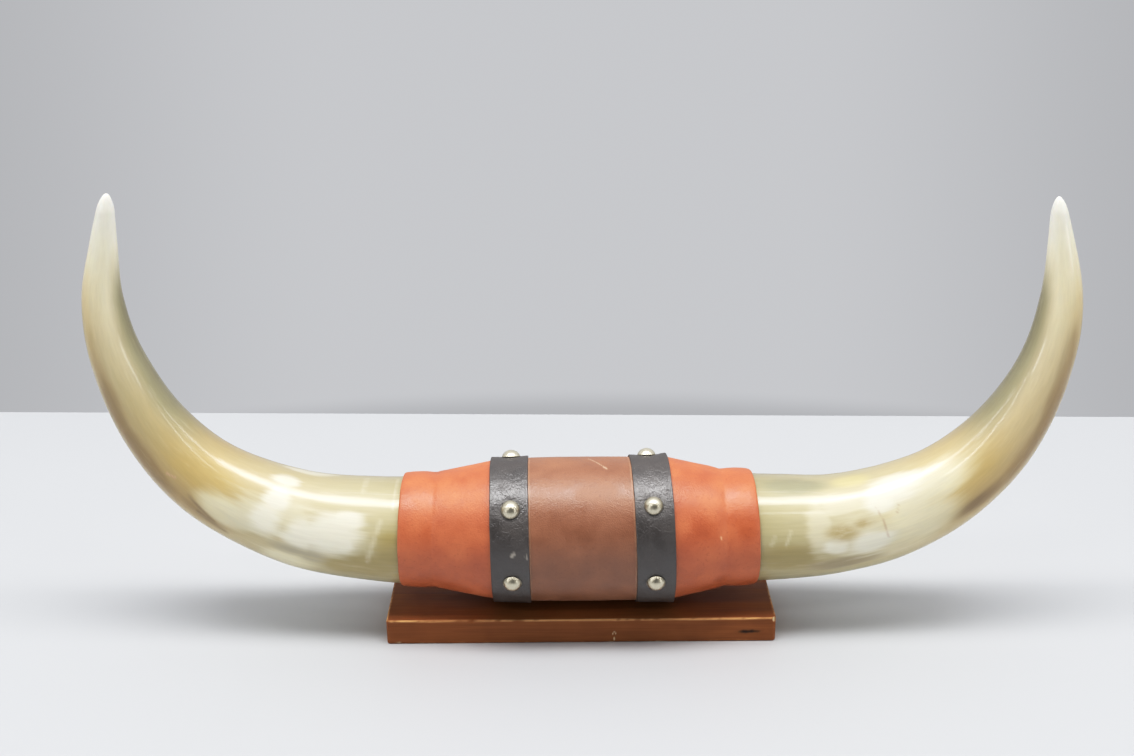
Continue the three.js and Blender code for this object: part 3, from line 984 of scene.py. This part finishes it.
def board_grid(half):
    """Points and quads all over a box of those half sizes, in small steps near its edges."""
    def ticks(reach, step):
        """Places from -reach to reach: close together near both ends, about a step apart between."""
        near = np.arange(0, EDGE_REACH, CLOSE_STEP)
        middle = reach - EDGE_REACH
        count = max(2, round(2 * middle / step))
        between = np.linspace(-middle, middle, count + 1)
        return np.concatenate([near - reach, between, (reach - near)[::-1]])

    chipped = np.arange(*CHIPPED_STRETCH, CLOSE_STEP)
    axes = [
        np.union1d(ticks(half[0], LONG_STEP), chipped),
        ticks(half[1], LONG_STEP),
        ticks(half[2], UPRIGHT_STEP),
    ]
    index, points, faces = {}, [], []

    def corner(*ijk):
        if ijk not in index:
            index[ijk] = len(points)
            points.append([places[i] for places, i in zip(axes, ijk)])
        return index[ijk]

    def quad(start, first, second):
        """Add a face from a corner, given as its number on each axis, one step along two axes."""
        both = [a + b for a, b in zip(first, second)]
        moves = ((0, 0, 0), first, both, second)
        faces.append([corner(*(a + b for a, b in zip(start, move))) for move in moves])

    x_step, y_step, z_step = (1, 0, 0), (0, 1, 0), (0, 0, 1)
    nx, ny, nz = (len(places) - 1 for places in axes)
    for i in range(nx):
        for j in range(ny):
            quad((i, j, 0), y_step, x_step)
            quad((i, j, nz), x_step, y_step)
        for k in range(nz):
            quad((i, 0, k), x_step, z_step)
            quad((i, ny, k), z_step, x_step)
    for j in range(ny):
        for k in range(nz):
            quad((0, j, k), z_step, y_step)
            quad((nx, j, k), y_step, z_step)
    return np.array(points), faces


def board(finish):
    """The stained board: a box with rounded, worn edges and corners, small chips and a dark knot."""
    half = (BOARD_HIGH - BOARD_LOW) / 2
    center = (BOARD_HIGH + BOARD_LOW) / 2
    p, faces = board_grid(half)
    wear = lumps(p, 26, 1.9)
    rough = lumps(p, 3.5, 4.7)
    edge = np.clip(1.0 + 0.35 * wear + 0.2 * rough, 0.55, 1.9)

    # The upright corners, each drawn in to a round of BOARD_CORNER.
    flat = p[:, :2]
    inner = np.clip(flat, -(half[:2] - BOARD_CORNER), half[:2] - BOARD_CORNER)
    offset = flat - inner
    reach = np.linalg.norm(offset, axis=1)
    outward = offset / np.maximum(reach, 1e-9)[:, None]
    in_corner = (np.abs(offset) > 1e-9).all(axis=1)
    capped = np.where(in_corner & (np.abs(offset).max(axis=1) > BOARD_CORNER - 1e-6),
                      BOARD_CORNER, np.minimum(reach, BOARD_CORNER))
    flat = inner + outward * capped[:, None]

    # The long edges, each rounded over by the size of its wear there.
    side_gap = BOARD_CORNER - capped
    top_gap = half[2] - np.abs(p[:, 2])
    u, v = np.maximum(edge - side_gap, 0), np.maximum(edge - top_gap, 0)
    length = np.hypot(u, v)
    rounding = (u > 0) & (v > 0) & (length > edge)
    scale = np.where(rounding, edge / np.maximum(length, 1e-9), 1)
    flat = flat - outward * (u * (1 - scale))[:, None]
    height = np.sign(p[:, 2]) * (half[2] - np.where(rounding, edge - v * scale, top_gap))
    moved = np.column_stack([flat, height]) + center

    worn = 1 - smooth_step(0.7, 1.7, np.maximum(side_gap, top_gap) + 0.3 * rough)
    bare = worn * smooth_step(-0.7, 0.3, wear + 0.8 * rough) * (p[:, 2] > 0)
    bare = np.maximum(bare, 0.5 * worn * smooth_step(0.1, 0.6, rough))
    chip = np.zeros(len(p))
    for dent in BOARD_CHIPS:
        apart = np.linalg.norm((moved - dent.place) / dent.size, axis=1)
        near = 1 - smooth_step(0.3, 1.0, apart + 0.25 * rough)
        inward = (center - dent.place) / np.linalg.norm(center - dent.place)
        moved = moved + inward * (dent.depth * near)[:, None]
        chip = np.maximum(chip, near * dent.pale)
    apart = np.linalg.norm((moved - BOARD_KNOT.place) / BOARD_KNOT.size, axis=1)
    knot = 1 - smooth_step(0.25, 1.1, apart + 0.4 * rough)

    grain = 0.05 * lumps(moved * (0.2, 1, 1), 5, 3.9)
    above_foot = p[:, 2] > 1 - half[2]
    moved += (grain * above_foot)[:, None] * (0, 0.3, 1)
    moved[:, 2] = np.maximum(moved[:, 2], 0)
    return mesh_piece("worn_board", moved, faces, [finish], ["base_board"],
                      values={"bare": bare, "chip": chip, "stain": knot})


# ---- Stage, light and camera ----

TABLE_HALF_WIDTH = 1.8
TABLE_FRONT = -1.7
TABLE_BACK = 0.351
TABLE_THICKNESS = 0.03
# The table's back edge isn't quite square to the view, in degrees.
TABLE_TURN = -1.84

WALL_TONE = screen(187, 188, 191)
BACK_TONE = screen(222, 223, 226)
FRONT_TONE = screen(98, 98, 99)
BLACK = (0, 0, 0, 1)
# Where the room's tone changes, by its direction: the wall's foot and sides, where it gives way to the
# brighter room above, and where the room behind the table gives way to the darker one in front.
WALL_FOOT = (-0.398, -0.379)
WALL_SIDES = (0.15, 0.45)
WALL_TOP = (-0.1, 0.2)
ROOM_HALVES = (-0.3, 0.4)
# How much darker the wall gets at its foot and its sides.
WALL_SHADE = 0.2

# Each area light's name, place, target, size and power in watts.
LIGHTS = (
    ("overhead_panel", (0, -0.2, 2.6), (0, 0, 0.07), (2.6, 0.9), 44),
    ("overhead_strip", (0, -0.25, 2.6), (0, 0, 0.07), (9.0, 0.35), 46),
    ("right_strip", (3.2, -0.95, 1.5), (3.2, -0.95, 0), (5.6, 0.12), 10),
    ("left_strip", (-2.0, -1.2, 1.5), (-2.0, -1.2, 0), (3.0, 0.14), 10),
    ("right_window", (2.24, -1.6, 0.7), (-0.3, 0, 0.2), (0.4, 0.7), 4),
    ("left_window", (-2.24, -1.6, 0.7), (0.3, 0, 0.2), (0.4, 0.7), 4),
)

CAMERA_PLACE = (-0.0084, -0.8482, 0.5203)
# In degrees: how far it looks down, how far to the left, and how far it leans.
CAMERA_PITCH, CAMERA_YAW, CAMERA_ROLL = 21.95, -0.02, -0.48
SENSOR_WIDTH = 36
# The focal length and the photograph's width, both in its pixels.
FOCAL_PIXELS = 1400
PHOTO_WIDTH = 1134

# How bright each linear level is shown, as in a camera's picture.
TONE_CURVE = [(0.1, 0.078), (0.2, 0.185), (0.4, 0.45), (0.6, 0.69), (0.8, 0.87)]
# The curve for all three colours together, after those for red, green and blue.
COMBINED_CURVE = 3


def stage():
    """The pale table top that the part stands on."""
    f = Finish("pale_table")
    tone = f.mix(f.noise(f.place(), 300, detail=3), screen(191, 193, 196), screen(195, 197, 200))
    material = f.done(Base_Color=tone, Roughness=0.55)
    outline = [
        (-TABLE_HALF_WIDTH, TABLE_FRONT), (TABLE_HALF_WIDTH, TABLE_FRONT),
        (TABLE_HALF_WIDTH, TABLE_BACK), (-TABLE_HALF_WIDTH, TABLE_BACK),
    ]
    corners = [(x, y, z) for z in (-TABLE_THICKNESS, 0) for x, y in outline]
    mesh = bpy.data.meshes.new("table_top")
    mesh.from_pydata(corners, [], tube_faces(2, len(outline), flip=False))
    mesh.materials.append(material)
    mesh.transform(Matrix.Rotation(math.radians(TABLE_TURN), 4, "Z"))
    table = bpy.data.objects.new("table_top", mesh)
    bpy.context.scene.collection.objects.link(table)


def world():
    """A pale wall behind the table, darker at its foot and sides, and a darker room in front of it."""
    made = bpy.data.worlds.new("studio")
    bpy.context.scene.world = made
    made.use_nodes = True
    f = Tree(made.node_tree)
    place = f.node("SeparateXYZ", {0: f.node("TexCoord", {}).outputs["Generated"]}).outputs
    aside = f.math("ABSOLUTE", place["X"])
    wall = f.mix(f.between(*WALL_FOOT, place["Z"], WALL_SHADE, 0), WALL_TONE, BLACK)
    wall = f.mix(f.between(*WALL_SIDES, aside, 0, WALL_SHADE), wall, BLACK)
    back = f.mix(f.between(*WALL_TOP, place["Z"]), wall, BACK_TONE)
    tone = f.mix(f.between(*ROOM_HALVES, place["Y"]), FRONT_TONE, back)
    f.feed(made.node_tree.nodes["Background"].inputs["Color"], tone)


def area_light(name, place, target, size, power):
    data = bpy.data.lights.new(name, "AREA")
    data.shape = "RECTANGLE"
    data.size, data.size_y = size
    data.energy = power
    light = bpy.data.objects.new(name, data)
    light.location = place
    light.rotation_euler = (Vector(target) - Vector(place)).to_track_quat("-Z", "Y").to_euler()
    light.visible_camera = False
    bpy.context.scene.collection.objects.link(light)


def camera():
    """The photograph's view."""
    data = bpy.data.cameras.new("view")
    data.sensor_width = SENSOR_WIDTH
    data.lens = SENSOR_WIDTH * FOCAL_PIXELS / PHOTO_WIDTH
    made = bpy.data.objects.new("view", data)
    turn = Matrix.Rotation(math.radians(CAMERA_YAW), 4, "Z")
    turn = turn @ Matrix.Rotation(math.radians(90 - CAMERA_PITCH), 4, "X")
    turn = turn @ Matrix.Rotation(math.radians(CAMERA_ROLL), 4, "Z")
    made.matrix_world = Matrix.Translation(CAMERA_PLACE) @ turn
    bpy.context.scene.collection.objects.link(made)
    bpy.context.scene.camera = made


def view_tones():
    """The contrast of the view."""
    view = bpy.context.scene.view_settings
    view.view_transform = "Standard"
    view.use_curve_mapping = True
    for level, shown in TONE_CURVE:
        view.curve_mapping.curves[COMBINED_CURVE].points.new(level, shown)
    view.curve_mapping.update()


# ---- The part ----

# The colours of each horn from its base at 0 to its tip at 1.
STOPS = (0, 0.12, 0.3, 0.45, 0.6, 0.74, 0.85, 0.93, 0.985)
LEFT_TONES = (
    (192, 180, 138), (208, 199, 164), (214, 200, 162), (206, 181, 130), (198, 184, 144),
    (224, 211, 176), (250, 239, 204), (255, 251, 228), (255, 254, 244),
)
RIGHT_TONES = (
    (184, 173, 132), (202, 193, 156), (226, 213, 176), (222, 198, 146), (212, 195, 158),
    (230, 216, 180), (253, 240, 202), (255, 249, 222), (255, 254, 244),
)

orange = leather_finish(
    "orange_leather",
    (screen(170, 84, 46), screen(200, 110, 66), screen(222, 138, 92)),
    grain=1.1,
    roughness=0.46,
    specular=0.9,
    ior=1.5,
    fold_depth=0.05,
    scratch_tone=screen(240, 190, 150),
)
brown = leather_finish(
    "brown_leather",
    (screen(132, 86, 61), screen(154, 105, 77), screen(174, 123, 92)),
    grain=0.8,
    roughness=0.43,
    specular=0.9,
    ior=1.5,
    fold_depth=0.05,
    scratch_tone=screen(206, 172, 146),
)
black = leather_finish(
    "black_leather",
    (screen(36, 29, 26), screen(52, 43, 39), screen(78, 68, 61)),
    grain=1.2,
    roughness=0.46,
    specular=1.0,
    ior=1.7,
    fold_depth=0.35,
    scratch_tone=screen(178, 170, 158),
)
raw = raw_leather_finish()
nickel = nickel_finish()

for side, tones in ((LEFT, LEFT_TONES), (RIGHT, RIGHT_TONES)):
    stops = [(stop, screen(*tone)) for stop, tone in zip(STOPS, tones)]
    horn(side, horn_finish("horn_" + side["name"], stops))
    sleeve(side, [orange, raw])
    strap(side, black)
    for number, degrees in enumerate(side["nail_angles"], 1):
        dome_nail(side, number, degrees, nickel)
center_leather(brown)
board(stained_wood_finish())

for node, finish in (
    ("wood_core", turned_wood_finish()),
    ("mount_screw_left", screw_finish()),
    ("mount_screw_right", screw_finish()),
):
    for material_slot in frame["nodes"][node].material_slots:
        material_slot.material = finish

stage()
world()
for light in LIGHTS:
    area_light(*light)
camera()
view_tones()
